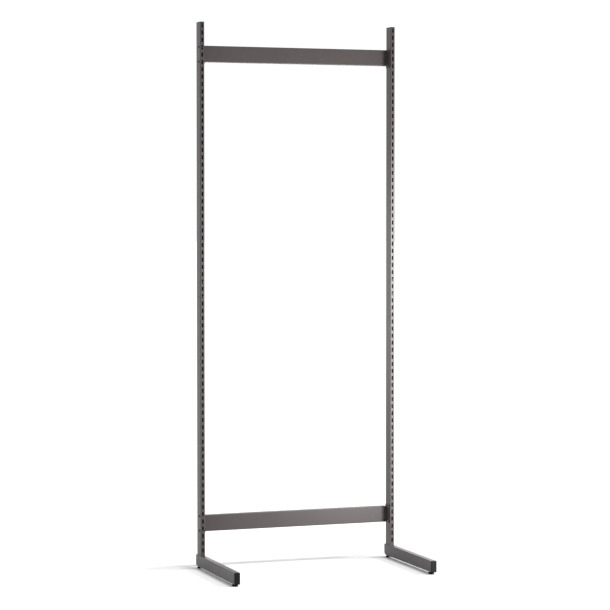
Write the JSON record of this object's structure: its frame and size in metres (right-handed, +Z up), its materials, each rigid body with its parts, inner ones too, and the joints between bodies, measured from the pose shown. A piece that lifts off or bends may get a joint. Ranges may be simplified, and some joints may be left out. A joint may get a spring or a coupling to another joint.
{
  "type": "slotted upright shelving frame",
  "caption": "Free-standing shop shelving starter frame: slotted uprights, back rails and forward feet on levelling glides.",
  "frame": {"origin": "centre of the footprint, on the floor", "axes": "+X along the rails to the right upright, -Y the way the feet point, +Z up"},
  "size_m": [0.9266, 0.557, 2.405],
  "materials": {
    "anthracite_coat": "satin powder coat, warm dark grey",
    "black_plastic": "fine moulded texture",
    "zinc_plated_steel": "bright zinc plating",
    "black_steel": "black zinc plating"
  },
  "bodies": {
    "frame": {"upright_left": "anthracite_coat", "upright_cap_left": "black_plastic", "upright_base_block_left": "anthracite_coat", "foot_left": "anthracite_coat", "foot_socket_plates_left": "anthracite_coat", "foot_cap_left": "black_plastic", "foot_bolt_left": "zinc_plated_steel", "foot_washer_left": "zinc_plated_steel", "glide_nut_left": "anthracite_coat", "upright_right": "anthracite_coat", "upright_cap_right": "black_plastic", "upright_base_block_right": "anthracite_coat", "foot_right": "anthracite_coat", "foot_socket_plates_right": "anthracite_coat", "foot_cap_right": "black_plastic", "foot_bolt_right": "zinc_plated_steel", "foot_washer_right": "zinc_plated_steel", "glide_nut_right": "anthracite_coat", "top_rail": "anthracite_coat", "top_rail_plate_left": "anthracite_coat", "top_rail_plate_right": "anthracite_coat", "top_rail_bolts": "black_steel", "top_rail_nuts": "black_steel", "top_rail_spacers": "zinc_plated_steel", "bottom_rail": "anthracite_coat", "bottom_rail_plate_left": "anthracite_coat", "bottom_rail_plate_right": "anthracite_coat", "bottom_rail_bolts": "black_steel", "bottom_rail_nuts": "black_steel", "bottom_rail_spacers": "zinc_plated_steel"},
    "pad_front_left": {"glide_pad_front_left": "black_plastic"},
    "stem_front_left": {"glide_stem_front_left": "black_steel"},
    "pad_front_right": {"glide_pad_front_right": "black_plastic"},
    "stem_front_right": {"glide_stem_front_right": "black_steel"},
    "pad_rear_left": {"glide_pad_rear_left": "black_plastic"},
    "stem_rear_left": {"glide_stem_rear_left": "black_steel"},
    "pad_rear_right": {"glide_pad_rear_right": "black_plastic"},
    "stem_rear_right": {"glide_stem_rear_right": "black_steel"}
  },
  "joints": [
    {"name": "pad_lift_front_left", "type": "slide", "parent": "frame", "child": "pad_front_left", "axis": [0, 0, -1], "range_m": [0, 0.015]},
    {"name": "stem_turn_front_left", "type": "hinge", "parent": "pad_front_left", "child": "stem_front_left", "pos_m": [-0.45, -0.2475, 0], "axis": [0, 0, -1], "range_deg": [0, 4320]},
    {"name": "pad_lift_front_right", "type": "slide", "parent": "frame", "child": "pad_front_right", "axis": [0, 0, -1], "range_m": [0, 0.015]},
    {"name": "stem_turn_front_right", "type": "hinge", "parent": "pad_front_right", "child": "stem_front_right", "pos_m": [0.45, -0.2475, 0], "axis": [0, 0, -1], "range_deg": [0, 4320]},
    {"name": "pad_lift_rear_left", "type": "slide", "parent": "frame", "child": "pad_rear_left", "axis": [0, 0, -1], "range_m": [0, 0.015]},
    {"name": "stem_turn_rear_left", "type": "hinge", "parent": "pad_rear_left", "child": "stem_rear_left", "pos_m": [-0.45, 0.2395, 0], "axis": [0, 0, -1], "range_deg": [0, 4320]},
    {"name": "pad_lift_rear_right", "type": "slide", "parent": "frame", "child": "pad_rear_right", "axis": [0, 0, -1], "range_m": [0, 0.015]},
    {"name": "stem_turn_rear_right", "type": "hinge", "parent": "pad_rear_right", "child": "stem_rear_right", "pos_m": [0.45, 0.2395, 0], "axis": [0, 0, -1], "range_deg": [0, 4320]}
  ],
  "couplings": [
    {"joint": "stem_turn_front_left", "follows": "pad_lift_front_left", "rad_per_m": 5026.5},
    {"joint": "stem_turn_front_right", "follows": "pad_lift_front_right", "rad_per_m": 5026.5},
    {"joint": "stem_turn_rear_left", "follows": "pad_lift_rear_left", "rad_per_m": 5026.5},
    {"joint": "stem_turn_rear_right", "follows": "pad_lift_rear_right", "rad_per_m": 5026.5}
  ]
}
